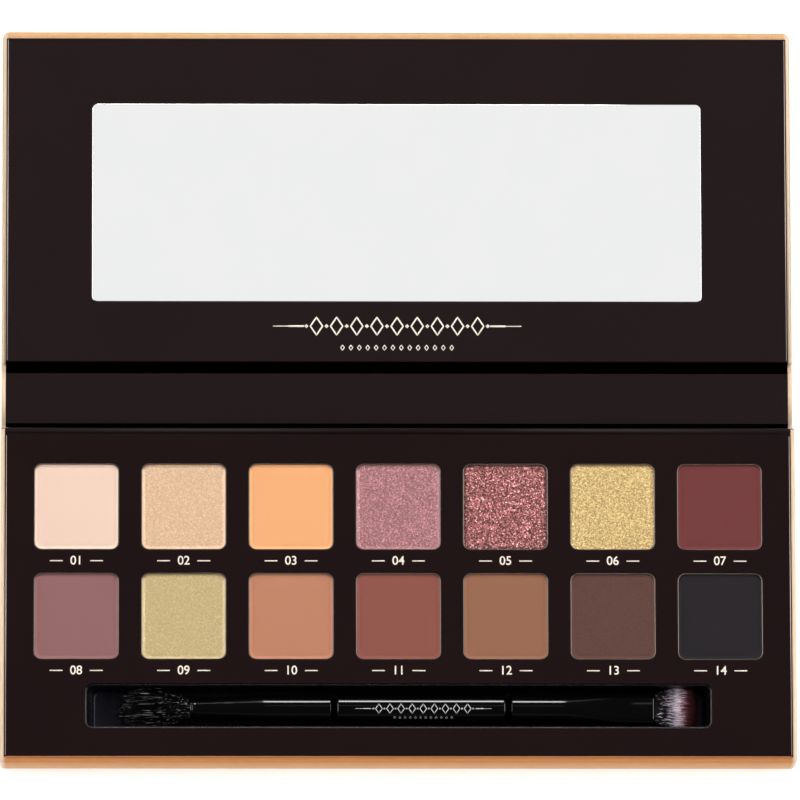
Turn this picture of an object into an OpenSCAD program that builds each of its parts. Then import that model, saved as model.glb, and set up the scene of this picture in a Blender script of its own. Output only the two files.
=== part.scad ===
// Eyeshadow palette: a rigid card case that opens flat like a book, with a tray of fourteen pans and a brush.
// Origin at the middle of the open palette on the surface it lies on. +X to the right, +Y to the lid, +Z up.

/* [Case] */
// Width of the case
case_w = 210; // [208:1:216]
// Depth of the closed case, from the front wall to the rear fold
closed_d = 91; // [90:0.5:96]
// Thickness of the closed case
closed_t = 16.2; // [16:0.1:18]
// Outer corner radius of the tray
tray_corner_r = 1.2; // [0.8:0.1:1.6]
// Outer corner radius of the lid's free corners
lid_corner_r = 1.9; // [1.6:0.1:3]

/* [Boards and papers] */
// Thickness of the flocked outer wrap
wrap_t = 0.3; // [0.2:0.05:0.4]
// Thickness of the tray's bottom board and walls
tray_board_t = 1.5; // [1.2:0.1:1.8]
// Thickness of the lid board
lid_board_t = 2.3; // [2:0.1:2.4]
// Thickness of the lid's inner panel
lid_panel_t = 0.75; // [0.5:0.05:0.9]
// Thickness of the spine board
spine_board_t = 0.7; // [0.5:0.05:0.8]
// Thickness of the inner lining paper
liner_t = 0.2; // [0.15:0.05:0.25]
// Width of flocked wrap left showing along the sides
side_border = 1.15; // [0.8:0.05:1.6]
// Width of flocked wrap left showing along the lid's free edge
lid_border = 2; // [1.4:0.1:3]
// Width of flocked wrap left showing along the front wall
front_border = 1.5; // [1.2:0.1:2]
// Distance from the face plate's rear edge to the back of the tray
rear_border = 1.8; // [1.5:0.1:2.2]
// Gap between the lid panel and the tray in the closed case
closing_gap = 0.25; // [0.2:0.05:0.5]

/* [Folds] */
// Gap between the tray and the rear fold
rear_gap = 1.7; // [1.6:0.1:2.2]
// Gap between either fold and the spine board
spine_gap = 1.35; // [1.2:0.05:1.6]
// Gap between the lid fold and the lid board
lid_gap = 1.45; // [1.4:0.05:1.8]

/* [Pans] */
// Pans in a row
columns = 7; // [5:1:7]
// Distance between neighbouring pans
pan_pitch = 28.3; // [28:0.1:29]
// Width of a window in the face plate
window_w = 22.6; // [20:0.1:24]
// Depth of a window in the face plate
window_d = 23.3; // [20:0.1:24]
// Corner radius of a window
window_r = 2.2; // [1.5:0.1:4]
// Front row's distance behind the front wall
front_row = 38.9; // [38:0.1:40]
// Rear row's distance behind the front wall
rear_row = 68.15; // [67:0.1:69]
// Height of a metal pan
pan_h = 3.6; // [3:0.1:5]
// Thickness of a pan's metal
pan_wall = 0.25; // [0.2:0.05:0.4]
// How far the pressed powder lies below the pan's rim
powder_drop = 0.5; // [0.2:0.05:0.8]

/* [Mirror] */
// Width of the mirror
mirror_w = 162; // [140:1:180]
// Height of the mirror
mirror_h = 53.5; // [40:0.5:60]
// Corner radius of the mirror
mirror_r = 1.4; // [1:0.1:4]
// Thickness of the mirror
mirror_t = 1; // [0.8:0.05:1.1]

/* [Brush] */
// Length of the brush slot
slot_w = 165.2; // [160:0.2:170]
// Width of the brush slot
slot_d = 11.9; // [11.5:0.1:12.5]
// Corner radius of the brush slot
slot_r = 2.1; // [1.5:0.1:3]
// Slot's distance behind the front wall
slot_y = 15; // [14.5:0.1:15.5]
// Radius of the brush handle
handle_r = 3.8; // [3.2:0.1:4]

/* [Hidden] */

$fn = 96;
eps = 0.01;

// Along Y: the front wall, the two folds and the lid's free edge
open_d = 2 * closed_d + closed_t;
front_y = -open_d / 2;
rear_fold_y = front_y + closed_d;
lid_fold_y = rear_fold_y + closed_t;
lid_end_y = open_d / 2;
tray_d = closed_d - rear_gap;
tray_rear_y = front_y + tray_d;
spine_front_y = rear_fold_y + spine_gap;
spine_rear_y = lid_fold_y - spine_gap;
spine_d = spine_rear_y - spine_front_y;
lid_start_y = lid_fold_y + lid_gap;

// Up the tray
lid_t = wrap_t + lid_board_t + lid_panel_t;
plate_top = closed_t - lid_t - closing_gap;
plate_t = 0.5;
rim_z = plate_top - plate_t;
floor_z = wrap_t + tray_board_t;
wall_in = wrap_t + tray_board_t;
skin_in = wall_in + wrap_t;
turn_in_h = 4;
plate_w = case_w - 2 * side_border;
plate_rear_y = tray_rear_y - rear_border;
lining_lap = rear_border - 0.45;

// Moulded trays
sheet_t = 0.5;
tray_gap = 0.1;
moulded_w = case_w - 2 * skin_in - 2 * tray_gap;
split_y = front_y + slot_y + slot_d / 2 + 0.9;
pan_tray_rear_y = tray_rear_y - liner_t - tray_board_t - tray_gap;
skirt_t = 1.2;

// Pans
pan_gap = 0.1;
glue_t = 0.2;
pan_top = plate_top - 0.1;
pan_z = pan_top - pan_h;
deck_z = pan_z - glue_t;
pan_w = window_w - 2 * pan_gap;
pan_d = window_d - 2 * pan_gap;
pan_r = window_r - pan_gap;

// Brush slot
slot_wall = 0.45;
trough_w = slot_w - 0.2;
trough_d = slot_d - 0.2;
end_draft = 1.6;
trough_floor_z = floor_z + sheet_t;

// Magnets
magnet_r = 3;
magnet_t = 1.5;
magnet_x = 88;
magnet_in = 5.35;

// Lid
lid_turn_in = 8;
pocket_depth = 0.4;
mirror_glue_t = 0.15;
mirror_y = front_y + 151.65;
window_gap = 0.1;
lid_face_z = wrap_t + lid_board_t;

// Brush, along X from the tip of the round tuft to the tip of the flat tuft
brush_y = front_y + 15.1;
brush_z = 7.45;
round_tip_x = -74.2;
round_mouth_x = -54.9;
left_joint_x = -17;
right_joint_x = 29;
flat_mouth_x = 67.4;
flat_tip_x = 79.2;
groove_w = 1.6;
ferrule_r = 3.6;
ferrule_wall = 0.35;
round_mouth_r = 2.5;
round_tuft_r = 4.9;
tuft_widest = 0.7;
tuft_swell = round_tuft_r - round_mouth_r + ferrule_wall;
flat_mouth_w = 8.2;
flat_mouth_t = 3.4;
flat_tuft_w = 10.6;
flat_tuft_t = 4.4;
spigot_len = 14;
spigot_r = 2.7;
root_len = 10;

CARD = "#8d8478";
FLOCK = "#dcae7c";
BROWN = "#1e1214";
BLACK = "#0a0a0b";
METAL = "#b9b9b9";
SHADES = [
    "#f6d5c1", "#e9c19d", "#f9b37c", "#b97e84", "#a56a6a", "#ddbe7e", "#774040",
    "#966869", "#ccb581", "#c48568", "#92564c", "#9b6a52", "#654841", "#2d2a2d"
];

// A flat rounded rectangle centred on the origin
module rounded_rect(w, d, r) {
    square([w - 2 * r, d], center = true);
    square([w, d - 2 * r], center = true);
    for (x = [-1, 1], y = [-1, 1]) translate([x * (w / 2 - r), y * (d / 2 - r)]) circle(r);
}

// A flat panel from y0 to y1 whose corners at y0 and y1 have their own radii, zero for square corners
module panel_2d(w, y0, y1, r0, r1) {
    translate([-w / 2, y0 + r0]) square([w, y1 - y0 - r0 - r1]);
    if (r0 > 0) panel_end(w, y0, r0, 1);
    if (r1 > 0) panel_end(w, y1, r1, -1);
}

// The rounded strip that ends a panel at y, inwards in the direction way
module panel_end(w, y, r, way) {
    translate([r - w / 2, min(y, y + way * r)]) square([w - 2 * r, r]);
    for (x = [-1, 1]) intersection() {
        translate([x * (w / 2 - r), y + way * r]) circle(r);
        translate([-w / 2, min(y, y + way * r)]) square([w, r]);
    }
}

module slab(z0, z1) translate([0, 0, z0]) linear_extrude(z1 - z0) children();

// The outline of the tray, drawn in by the given distance at the front and both sides
module tray_2d(inset, rear_y = tray_rear_y)
    panel_2d(case_w - 2 * inset, front_y + inset, rear_y, max(tray_corner_r - inset, 0), 0);

function pan_x(i) = ((i % columns) - (columns - 1) / 2) * pan_pitch;
function pan_y(i) = front_y + (i < columns ? rear_row : front_row);
module at_pan(i) translate([pan_x(i), pan_y(i)]) children();

// ---- tray ----

module bottom_wrap() color(FLOCK) slab(0, wrap_t) tray_2d(0);

module bottom_board() color(CARD) slab(wrap_t, floor_z) tray_2d(wrap_t, tray_rear_y - liner_t);

// The ring that the wall boards stand in
module wall_ring_2d() {
    difference() {
        tray_2d(wrap_t, tray_rear_y - liner_t);
        tray_2d(wall_in, tray_rear_y + 1);
    }
}

module wall(z1) color(CARD) slab(floor_z, z1) children();

module front_wall() wall(rim_z - wrap_t) {
    intersection() {
        wall_ring_2d();
        translate([-case_w / 2, front_y]) square([case_w, wall_in]);
    }
}

module side_wall(side) wall(rim_z - wrap_t) {
    x = case_w / 2 - wall_in;
    translate([side > 0 ? x : -x - tray_board_t, front_y + wall_in])
        square([tray_board_t, tray_d - wall_in - liner_t]);
}

module left_wall() side_wall(-1);

module right_wall() side_wall(1);

module rear_wall() wall(rim_z) {
    translate([wall_in - case_w / 2, tray_rear_y - liner_t - tray_board_t])
        square([case_w - 2 * wall_in, tray_board_t]);
}

// Flocked skin over the outside, the rim and a little of the inside of three walls
module tray_wrap() color(FLOCK) {
    inner_rear_y = tray_rear_y - liner_t - tray_board_t;
    slab(wrap_t, rim_z) difference() {
        tray_2d(0);
        tray_2d(wrap_t, tray_rear_y + 1);
    }
    slab(rim_z - wrap_t, rim_z) difference() {
        tray_2d(wrap_t, tray_rear_y - liner_t);
        tray_2d(wall_in, tray_rear_y + 1);
    }
    slab(rim_z - turn_in_h, rim_z) difference() {
        tray_2d(wall_in, inner_rear_y);
        tray_2d(skin_in, tray_rear_y + 1);
    }
}

// Dark paper over the back of the tray and the top of its rear wall
module rear_lining() color(BROWN) {
    back_w = case_w - 2 * wrap_t;
    translate([-back_w / 2, tray_rear_y - liner_t, wrap_t]) cube([back_w, liner_t, rim_z - wrap_t]);
    translate([-plate_w / 2, tray_rear_y - lining_lap, rim_z]) cube([plate_w, lining_lap, liner_t]);
}

// Thin moulded tray with a well for each pan and a skirt down to the bottom board
module pan_tray() color(BLACK) {
    depth = pan_tray_rear_y - split_y;
    well_w = window_w + 2 * sheet_t;
    well_d = window_d + 2 * sheet_t;
    difference() {
        union() {
            slab(rim_z - sheet_t, rim_z)
                translate([-moulded_w / 2, split_y]) square([moulded_w, depth]);
            for (i = [0 : 2 * columns - 1]) slab(deck_z - sheet_t, rim_z)
                at_pan(i) rounded_rect(well_w, well_d, window_r + sheet_t);
            slab(floor_z, rim_z) difference() {
                translate([-moulded_w / 2, split_y]) square([moulded_w, depth]);
                translate([skirt_t - moulded_w / 2, split_y + skirt_t])
                    square([moulded_w - 2 * skirt_t, depth - 2 * skirt_t]);
            }
        }
        for (i = [0 : 2 * columns - 1]) slab(deck_z, rim_z + 1)
            at_pan(i) rounded_rect(window_w, window_d, window_r);
    }
}

// A prism along Y whose ends slope inwards by the draft towards its floor
module drafted_prism(w, d, z0, z1, draft) {
    points = [[-w / 2, z1], [w / 2, z1], [w / 2 - draft, z0], [draft - w / 2, z0]];
    rotate([90, 0, 0]) translate([0, 0, -d / 2]) linear_extrude(d) polygon(points);
}

// Thin moulded trough for the brush, hung from a flange under the face plate
module brush_trough() color(BLACK) {
    front = front_y + skin_in + tray_gap;
    difference() {
        union() {
            slab(rim_z - sheet_t, rim_z)
                translate([-moulded_w / 2, front]) square([moulded_w, split_y - tray_gap - front]);
            translate([0, front_y + slot_y]) slab(floor_z, plate_top - 0.15)
                rounded_rect(trough_w, trough_d, slot_r - 0.1);
        }
        translate([0, front_y + slot_y]) intersection() {
            slab(trough_floor_z, plate_top + 1)
                rounded_rect(trough_w - 2 * slot_wall, trough_d - 2 * slot_wall, slot_r - slot_wall);
            drafted_prism(trough_w - 2 * slot_wall, slot_d, trough_floor_z, plate_top + eps, end_draft);
        }
    }
}

// Dark printed card with a window for each pan and a slot for the brush
module face_plate() color(BROWN) slab(rim_z, plate_top) difference() {
    translate([-plate_w / 2, front_y + front_border])
        square([plate_w, plate_rear_y - front_y - front_border]);
    for (i = [0 : 2 * columns - 1]) at_pan(i) rounded_rect(window_w, window_d, window_r);
    translate([0, front_y + slot_y]) rounded_rect(slot_w, slot_d, slot_r);
}

// A metal dish with rounded corners
module pan(i) color(METAL) difference() {
    slab(pan_z, pan_top) at_pan(i) rounded_rect(pan_w, pan_d, pan_r);
    slab(pan_z + pan_wall, pan_top + 1) at_pan(i)
        rounded_rect(pan_w - 2 * pan_wall, pan_d - 2 * pan_wall, pan_r - pan_wall);
}

// Pressed powder that fills a dish to a little below its rim
module powder(i) color(SHADES[i]) slab(pan_z + pan_wall, pan_top - powder_drop) at_pan(i)
    rounded_rect(pan_w - 2 * pan_wall, pan_d - 2 * pan_wall, pan_r - pan_wall);

module pan_adhesive() color("#d8d2c0")
    for (i = [0 : 2 * columns - 1]) slab(deck_z, pan_z) at_pan(i) circle(6);

// Discs under the trough's flange that hold the lid shut
module tray_magnets() color(METAL) for (side = [-1, 1])
    translate([side * magnet_x, front_y + magnet_in, rim_z - sheet_t - magnet_t])
        cylinder(magnet_t, magnet_r, magnet_r);

// ---- folds and spine ----

module fold_wrap(y0, y1) color(FLOCK)
    translate([-case_w / 2, y0, 0]) cube([case_w, y1 - y0, wrap_t]);

module fold_lining(y0, y1) color(BLACK)
    translate([-plate_w / 2, y0, wrap_t]) cube([plate_w, y1 - y0, liner_t]);

module rear_fold_wrap() fold_wrap(tray_rear_y, spine_front_y);

module rear_fold_lining() fold_lining(tray_rear_y, spine_front_y);

module lid_fold_wrap() fold_wrap(spine_rear_y, lid_start_y);

module lid_fold_lining() fold_lining(spine_rear_y, lid_start_y);

// Flocked wrap below the spine board, turned in over both of its short ends
module spine_wrap() color(FLOCK) {
    board_w = case_w - 2 * wrap_t;
    spine_t = wrap_t + spine_board_t + wrap_t;
    difference() {
        translate([-case_w / 2, spine_front_y, 0]) cube([case_w, spine_d, spine_t]);
        translate([-board_w / 2, spine_front_y - 1, wrap_t]) cube([board_w, spine_d + 2, spine_board_t]);
        translate([-plate_w / 2, spine_front_y - 1, wrap_t]) cube([plate_w, spine_d + 2, spine_t]);
    }
}

module spine_board() color(CARD) {
    board_w = case_w - 2 * wrap_t;
    translate([-board_w / 2, spine_front_y, wrap_t]) cube([board_w, spine_d, spine_board_t]);
}

module spine_lining() color(BROWN)
    translate([-plate_w / 2, spine_front_y, wrap_t + spine_board_t]) cube([plate_w, spine_d, liner_t]);

// ---- lid ----

module lid_2d(inset, start_y = lid_start_y)
    panel_2d(case_w - 2 * inset, start_y, lid_end_y - inset, 0, max(lid_corner_r - inset, 0));

// Flocked wrap under the lid board, round three of its edges and turned in over them
module lid_wrap() color(FLOCK) {
    slab(0, wrap_t) lid_2d(0);
    slab(wrap_t, lid_face_z) difference() {
        lid_2d(0);
        lid_2d(wrap_t, lid_start_y - 1);
    }
    slab(lid_face_z - wrap_t, lid_face_z) difference() {
        lid_2d(wrap_t);
        lid_2d(lid_turn_in, lid_start_y - 1);
    }
}

module lid_board() color(CARD) difference() {
    union() {
        slab(wrap_t, lid_face_z - wrap_t) lid_2d(wrap_t);
        slab(wrap_t, lid_face_z) lid_2d(lid_turn_in);
    }
    slab(lid_face_z - pocket_depth, lid_face_z + 1) translate([0, mirror_y])
        rounded_rect(mirror_w + 2 * window_gap, mirror_h + 2 * window_gap, mirror_r + window_gap);
    for (side = [-1, 1]) translate([side * magnet_x, lid_end_y - magnet_in, lid_face_z - wrap_t - magnet_t])
        cylinder(magnet_t, magnet_r, magnet_r);
}

// Dark card with a window for the mirror
module lid_panel() color(BROWN) slab(lid_face_z, lid_t) difference() {
    translate([-plate_w / 2, lid_start_y]) square([plate_w, lid_end_y - lid_border - lid_start_y]);
    translate([0, mirror_y])
        rounded_rect(mirror_w + 2 * window_gap, mirror_h + 2 * window_gap, mirror_r + window_gap);
}

module mirror_adhesive() color("#d8d2c0")
    slab(lid_face_z - pocket_depth, lid_face_z - pocket_depth + mirror_glue_t)
        translate([0, mirror_y]) square([mirror_w - 10, mirror_h - 10], center = true);

module mirror() color("#eeeeee") {
    z = lid_face_z - pocket_depth + mirror_glue_t;
    slab(z, z + mirror_t) translate([0, mirror_y]) rounded_rect(mirror_w, mirror_h, mirror_r);
}

module lid_magnets() color(METAL) for (side = [-1, 1])
    translate([side * magnet_x, lid_end_y - magnet_in, lid_face_z - wrap_t - magnet_t])
        cylinder(magnet_t, magnet_r, magnet_r);

// ---- brush ----

// Lays children made along +Z down along +X, starting at x
module along_brush(x) translate([x, brush_y, brush_z]) rotate([0, 90, 0]) children();

// Shaft with a thinner spigot at each end for the ferrules
module brush_handle() color(BLACK) {
    start = left_joint_x + groove_w / 2;
    length = right_joint_x - left_joint_x - groove_w;
    along_brush(start) cylinder(length, handle_r, handle_r);
    along_brush(left_joint_x - spigot_len)
        cylinder(length + 2 * spigot_len + groove_w, spigot_r, spigot_r);
}

// Tapered metal tube, from the mouth of the round tuft to the handle
module round_ferrule() color(BLACK) {
    length = left_joint_x - groove_w / 2 - round_mouth_x;
    along_brush(round_mouth_x) difference() {
        cylinder(length, round_mouth_r, ferrule_r);
        translate([0, 0, -eps])
            cylinder(length + 2 * eps, round_mouth_r - ferrule_wall, ferrule_r - ferrule_wall);
    }
}

// A flat outline with round edges, as wide as w across the brush and t thick
module oval_2d(w, t) {
    for (side = [-1, 1]) translate([0, side * (w - t) / 2]) circle(t / 2, $fn = 32);
}

// A tube that goes from round at the handle to flat at its mouth
module flattened(inset, length) hull() {
    cylinder(2, ferrule_r - inset, ferrule_r - inset, $fn = 32);
    translate([0, 0, length - 1]) linear_extrude(1)
        hull() oval_2d(flat_mouth_w - 2 * inset, flat_mouth_t - 2 * inset);
}

module flat_ferrule() color(BLACK) {
    start = right_joint_x + groove_w / 2;
    length = flat_mouth_x - start;
    along_brush(start) difference() {
        flattened(0, length);
        flattened(ferrule_wall, length);
        translate([0, 0, -1]) cylinder(3, ferrule_r - ferrule_wall, ferrule_r - ferrule_wall);
        translate([0, 0, length - 1 - eps]) linear_extrude(2)
            hull() oval_2d(flat_mouth_w - 2 * ferrule_wall, flat_mouth_t - 2 * ferrule_wall);
    }
}

// Radius of the round tuft at the fraction t of the way from its mouth to its tip: it swells, then ends in a dome
function tuft_radius(t) = t < tuft_widest
    ? round_mouth_r - ferrule_wall + tuft_swell * sin(90 * t / tuft_widest)
    : round_tuft_r * sqrt(max(0, 1 - pow((t - tuft_widest) / (1 - tuft_widest), 2)));

module round_tuft() color("#141416") {
    length = round_mouth_x - round_tip_x;
    steps = 24;
    outline = [for (i = [0 : steps]) [tuft_radius(i / steps), i / steps * length]];
    root_r = round_mouth_r - ferrule_wall - 0.02;
    translate([round_mouth_x, brush_y, brush_z]) rotate([0, -90, 0]) {
        rotate_extrude() polygon(concat([[0, 0]], outline));
        translate([0, 0, -root_len]) cylinder(root_len, root_r, root_r);
    }
}

module flat_tuft() color("#6b5a5e") {
    length = flat_tip_x - flat_mouth_x;
    root_w = flat_mouth_w - 2 * ferrule_wall - 0.1;
    root_t = flat_mouth_t - 2 * ferrule_wall - 0.1;
    along_brush(flat_mouth_x) {
        translate([0, 0, -2]) linear_extrude(2.5) hull() oval_2d(root_w - 0.2, root_t - 0.2);
        hull() {
            linear_extrude(0.5) oval_2d(root_w, root_t);
            translate([0, 0, length * 0.6]) linear_extrude(1) oval_2d(flat_tuft_w, flat_tuft_t);
            translate([0, 0, length - 0.5]) linear_extrude(0.5) oval_2d(flat_tuft_w - 1.6, 2.4);
        }
    }
}

bottom_wrap();
bottom_board();
front_wall();
left_wall();
right_wall();
rear_wall();
tray_wrap();
rear_lining();
pan_tray();
brush_trough();
face_plate();
pan_adhesive();
tray_magnets();
pan(0);  // pan_01
pan(1);  // pan_02
pan(2);  // pan_03
pan(3);  // pan_04
pan(4);  // pan_05
pan(5);  // pan_06
pan(6);  // pan_07
pan(7);  // pan_08
pan(8);  // pan_09
pan(9);  // pan_10
pan(10);  // pan_11
pan(11);  // pan_12
pan(12);  // pan_13
pan(13);  // pan_14
powder(0);  // powder_01
powder(1);  // powder_02
powder(2);  // powder_03
powder(3);  // powder_04
powder(4);  // powder_05
powder(5);  // powder_06
powder(6);  // powder_07
powder(7);  // powder_08
powder(8);  // powder_09
powder(9);  // powder_10
powder(10);  // powder_11
powder(11);  // powder_12
powder(12);  // powder_13
powder(13);  // powder_14
rear_fold_wrap();
rear_fold_lining();
spine_wrap();
spine_board();
spine_lining();
lid_fold_wrap();
lid_fold_lining();
lid_wrap();
lid_board();
lid_panel();
mirror();
mirror_adhesive();
lid_magnets();
brush_handle();
round_ferrule();
flat_ferrule();
round_tuft();
flat_tuft();
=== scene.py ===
import math
import random

import bmesh
import bpy
from mathutils import Matrix, Vector, noise
from mathutils.geometry import tessellate_polygon


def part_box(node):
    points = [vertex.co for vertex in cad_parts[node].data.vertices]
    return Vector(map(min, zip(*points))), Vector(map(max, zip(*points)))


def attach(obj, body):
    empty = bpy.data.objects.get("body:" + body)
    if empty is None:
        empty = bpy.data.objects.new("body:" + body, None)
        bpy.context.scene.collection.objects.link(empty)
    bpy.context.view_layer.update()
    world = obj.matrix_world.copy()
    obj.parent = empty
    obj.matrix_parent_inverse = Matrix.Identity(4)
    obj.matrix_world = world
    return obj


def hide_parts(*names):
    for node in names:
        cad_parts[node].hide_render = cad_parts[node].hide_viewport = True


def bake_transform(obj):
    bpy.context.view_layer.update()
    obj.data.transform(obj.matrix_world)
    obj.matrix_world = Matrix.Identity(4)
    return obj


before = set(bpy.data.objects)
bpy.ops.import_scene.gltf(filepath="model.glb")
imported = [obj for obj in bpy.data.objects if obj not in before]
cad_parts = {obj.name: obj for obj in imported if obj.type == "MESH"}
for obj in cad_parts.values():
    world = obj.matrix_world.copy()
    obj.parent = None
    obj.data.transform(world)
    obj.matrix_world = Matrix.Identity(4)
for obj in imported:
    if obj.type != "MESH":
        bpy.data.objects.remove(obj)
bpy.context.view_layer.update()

MM = 0.001
CORNER_STEPS = 8
EDGE_STEPS = 4
FOLD_STEPS = 24
ROUND_STEPS = 72

# Each pan's powder: its material slot, its colour as 8-bit sRGB and its kind
SHADES = (
    ("ivory_matte", (246, 213, 193), "matte"),
    ("champagne_shimmer", (235, 195, 158), "satin"),
    ("orange_matte", (249, 179, 124), "matte"),
    ("pink_shimmer", (187, 127, 133), "shimmer"),
    ("mauve_glitter", (165, 98, 97), "glitter"),
    ("gold_glitter", (221, 190, 126), "foil"),
    ("burgundy_matte", (117, 60, 60), "matte"),
    ("mauve_matte", (150, 104, 105), "matte"),
    ("yellow_gold_shimmer", (206, 183, 130), "satin"),
    ("terracotta_matte", (196, 133, 104), "matte"),
    ("red_brown_matte", (146, 86, 76), "matte"),
    ("tan_brown_matte", (155, 106, 82), "matte"),
    ("dark_brown_matte", (99, 69, 62), "grained"),
    ("charcoal_matte", (39, 35, 39), "matte"),
)
# How much of its colour each kind of powder reflects
GAINS = {"matte": 0.92, "grained": 0.92, "satin": 0.87, "shimmer": 0.8, "glitter": 0.57, "foil": 0.88}
# Each kind's bed: its mesh's cells, the height and size of its unevenness, and how far it curls up or
# crumbles away at the margin, all in millimetres
BEDS = {
    "matte": (1.2, 0.012, 3.0, 0.28, 0.0),
    "grained": (0.6, 0.015, 1.0, 0.26, 0.0),
    "satin": (0.5, 0.006, 0.9, 0.26, 0.06),
    "shimmer": (0.4, 0.008, 0.9, 0.24, 0.12),
    "glitter": (0.26, 0.02, 0.4, 0.0, 0.5),
    "foil": (0.26, 0.01, 0.4, 0.1, 0.3),
}
# Each kind's flakes: their size in millimetres, how far they turn, how dark and how light most are painted
# as if turned from and towards the light, how bright the few painted glints are, and how metallic they all
# are
FLAKES = {
    "satin": (0.24, 0.2, 0.88, 1.1, 1.35, 0.05),
    "shimmer": (0.27, 0.35, 0.66, 1.3, 2.0, 0.1),
    "glitter": (0.3, 0.6, 0.25, 1.9, 6.0, 0.2),
    "foil": (0.26, 0.36, 0.66, 1.28, 1.75, 0.1),
}
# Each soft light: its name, bearing, tilt and distance, its width and depth, its radiance, and what shows it
LIGHTS = (
    ("strip", 0, 48, 1.5, 0.3, 0.33, 18, "both"),
    ("dim_strip", 0, 48, 1.6, 3.0, 0.35, 0.42, "both"),
    ("rear_key", 8, 48, 2.2, 1.3, 0.8, 2.85, "matt"),
    ("left_fill", -90, 55, 2.2, 1.2, 1.4, 3.6, "matt"),
    ("right_fill", 90, 52, 2.2, 1.2, 1.4, 4.8, "matt"),
    ("left_edge", -90, 50, 2.2, 2.2, 1.4, 6.0, "gloss"),
    ("right_edge", 90, 50, 2.2, 2.2, 1.4, 6.0, "gloss"),
    ("front_fill", 180, 60, 2.4, 1.6, 0.8, 0.5, "matt"),
    ("overhead", 0, 16, 2.4, 1.8, 1.5, 1.0, "matt"),
)


# ---- plans and sections ----

def plan(node, grow=0.0):
    """A CAD node's box seen from above, as x0, y0, x1, y1."""
    low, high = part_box(node)
    return (low.x - grow, low.y - grow, high.x + grow, high.y + grow)


def levels(node):
    """The heights of a CAD node's underside and top."""
    low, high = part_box(node)
    return low.z, high.z


def outline(rect, radii, grow=0.0, fixed=""):
    """Points round a rounded rectangle, anticlockwise from its front left corner and moved outwards by grow.
    The front or rear edge stays where it is if it is the fixed one."""
    x0, y0, x1, y1 = rect
    x0, x1 = x0 - grow, x1 + grow
    y0 = y0 if fixed == "front" else y0 - grow
    y1 = y1 if fixed == "rear" else y1 + grow
    corners = ((x0, y0, 1, 1, 180), (x1, y0, -1, 1, 270), (x1, y1, -1, -1, 0), (x0, y1, 1, -1, 90))
    r = max(radii + grow, 0.02 * MM)
    points = []
    for x, y, way_x, way_y, start in corners:
        for k in range(CORNER_STEPS + 1):
            angle = math.radians(start + 90 * k / CORNER_STEPS)
            points.append((x + way_x * r + r * math.cos(angle), y + way_y * r + r * math.sin(angle)))
    return points


def three_sides(rect, radius, inset, gap):
    """Points along a rounded rectangle that is open at its front or rear, moved inwards by inset."""
    ring = outline(rect, radius, -inset, gap)
    corner = CORNER_STEPS + 1
    x0, y0, x1, y1 = rect
    if gap == "rear":
        return [(x0 + inset, y1)] + ring[:2 * corner] + [(x1 - inset, y1)]
    return [(x1 - inset, y0)] + ring[2 * corner:] + [(x0 + inset, y0)]


def rounded_edge(radius):
    """(distance in, distance down) of points on a rounded edge, from the wall up to the flat."""
    angles = [math.pi / 2 * k / EDGE_STEPS for k in range(EDGE_STEPS + 1)]
    return [(radius * (1 - math.cos(a)), radius * (1 - math.sin(a))) for a in angles]


def full_turn(steps):
    """Evenly spaced angles once round."""
    return [2 * math.pi * k / steps for k in range(steps)]


class Solid:
    """A mesh in the making: rings of points that bands of faces join and flat caps close."""

    def __init__(self):
        self.points = []
        self.faces = []
        self.flat = set()

    def ring(self, points):
        first = len(self.points)
        self.points += points
        return list(range(first, len(self.points)))

    def level(self, points, z):
        return self.ring([(x, y, z) for x, y in points])

    def face(self, ring):
        self.flat.add(len(self.faces))
        self.faces.append(tuple(ring))

    def band(self, a, b, closed=True):
        for i in range(len(a) if closed else len(a) - 1):
            j = (i + 1) % len(a)
            self.faces.append((a[i], a[j], b[j], b[i]))

    def bands(self, rings, closed=True):
        for a, b in zip(rings, rings[1:]):
            self.band(a, b, closed)

    def cap(self, *rings):
        """A flat face inside the first ring, with the other rings as holes in it."""
        if len(rings) == 1 and len(rings[0]) <= 4:
            self.face(rings[0])
            return
        indices = [i for ring in rings for i in ring]
        for triangle in tessellate_polygon([[Vector(self.points[i]) for i in ring] for ring in rings]):
            self.face(indices[i] for i in triangle)

    def tube(self, rings):
        """Bands from ring to ring, closed at both ends."""
        self.bands(rings)
        self.cap(rings[0])
        self.cap(rings[-1])
        return self

    def mesh(self, name):
        mesh = bpy.data.meshes.new(name)
        mesh.from_pydata(self.points, [], self.faces)
        mesh.polygons.foreach_set("use_smooth", [i not in self.flat for i in range(len(self.faces))])
        work = bmesh.new()
        work.from_mesh(mesh)
        bmesh.ops.recalc_face_normals(work, faces=work.faces)
        work.to_mesh(mesh)
        work.free()
        return mesh


def give(mesh, material):
    """Gives a mesh one material."""
    mesh.materials.clear()
    mesh.materials.append(material)


def add_piece(name, solid, material, replaces=(), body=None):
    """Shows a solid as a piece of the object."""
    piece = bpy.data.objects.new(name, solid.mesh(name))
    bpy.context.scene.collection.objects.link(piece)
    give(piece.data, material)
    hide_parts(*replaces)
    if body:
        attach(piece, body)
    return piece


def plate(solid, rect, radii, z0, z1, edge, holes=()):
    """A flat sheet with rounded upper edges, and with holes given as (rect, radii) pairs."""
    def wall(rect, radii, way):
        rings = [solid.level(outline(rect, radii), z0)]
        for inset, drop in rounded_edge(edge):
            rings.append(solid.level(outline(rect, radii, -way * inset), z1 - drop))
        solid.bands(rings)
        return rings[0], rings[-1]

    ends = [wall(rect, radii, 1)] + [wall(hole, corner, -1) for hole, corner in holes]
    solid.cap(*[low for low, _ in ends])
    solid.cap(*[high for _, high in ends])
    return solid


def prism(solid, section, place, start, end):
    """A straight bar: place(a, b, along) gives the point of the section's (a, b) at a distance along it."""
    return solid.tube([solid.ring([place(a, b, along) for a, b in section]) for along in (start, end)])


def across(y, z, x):
    """Places a section drawn in Y and Z at a distance along X."""
    return (x, y, z)


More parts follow.
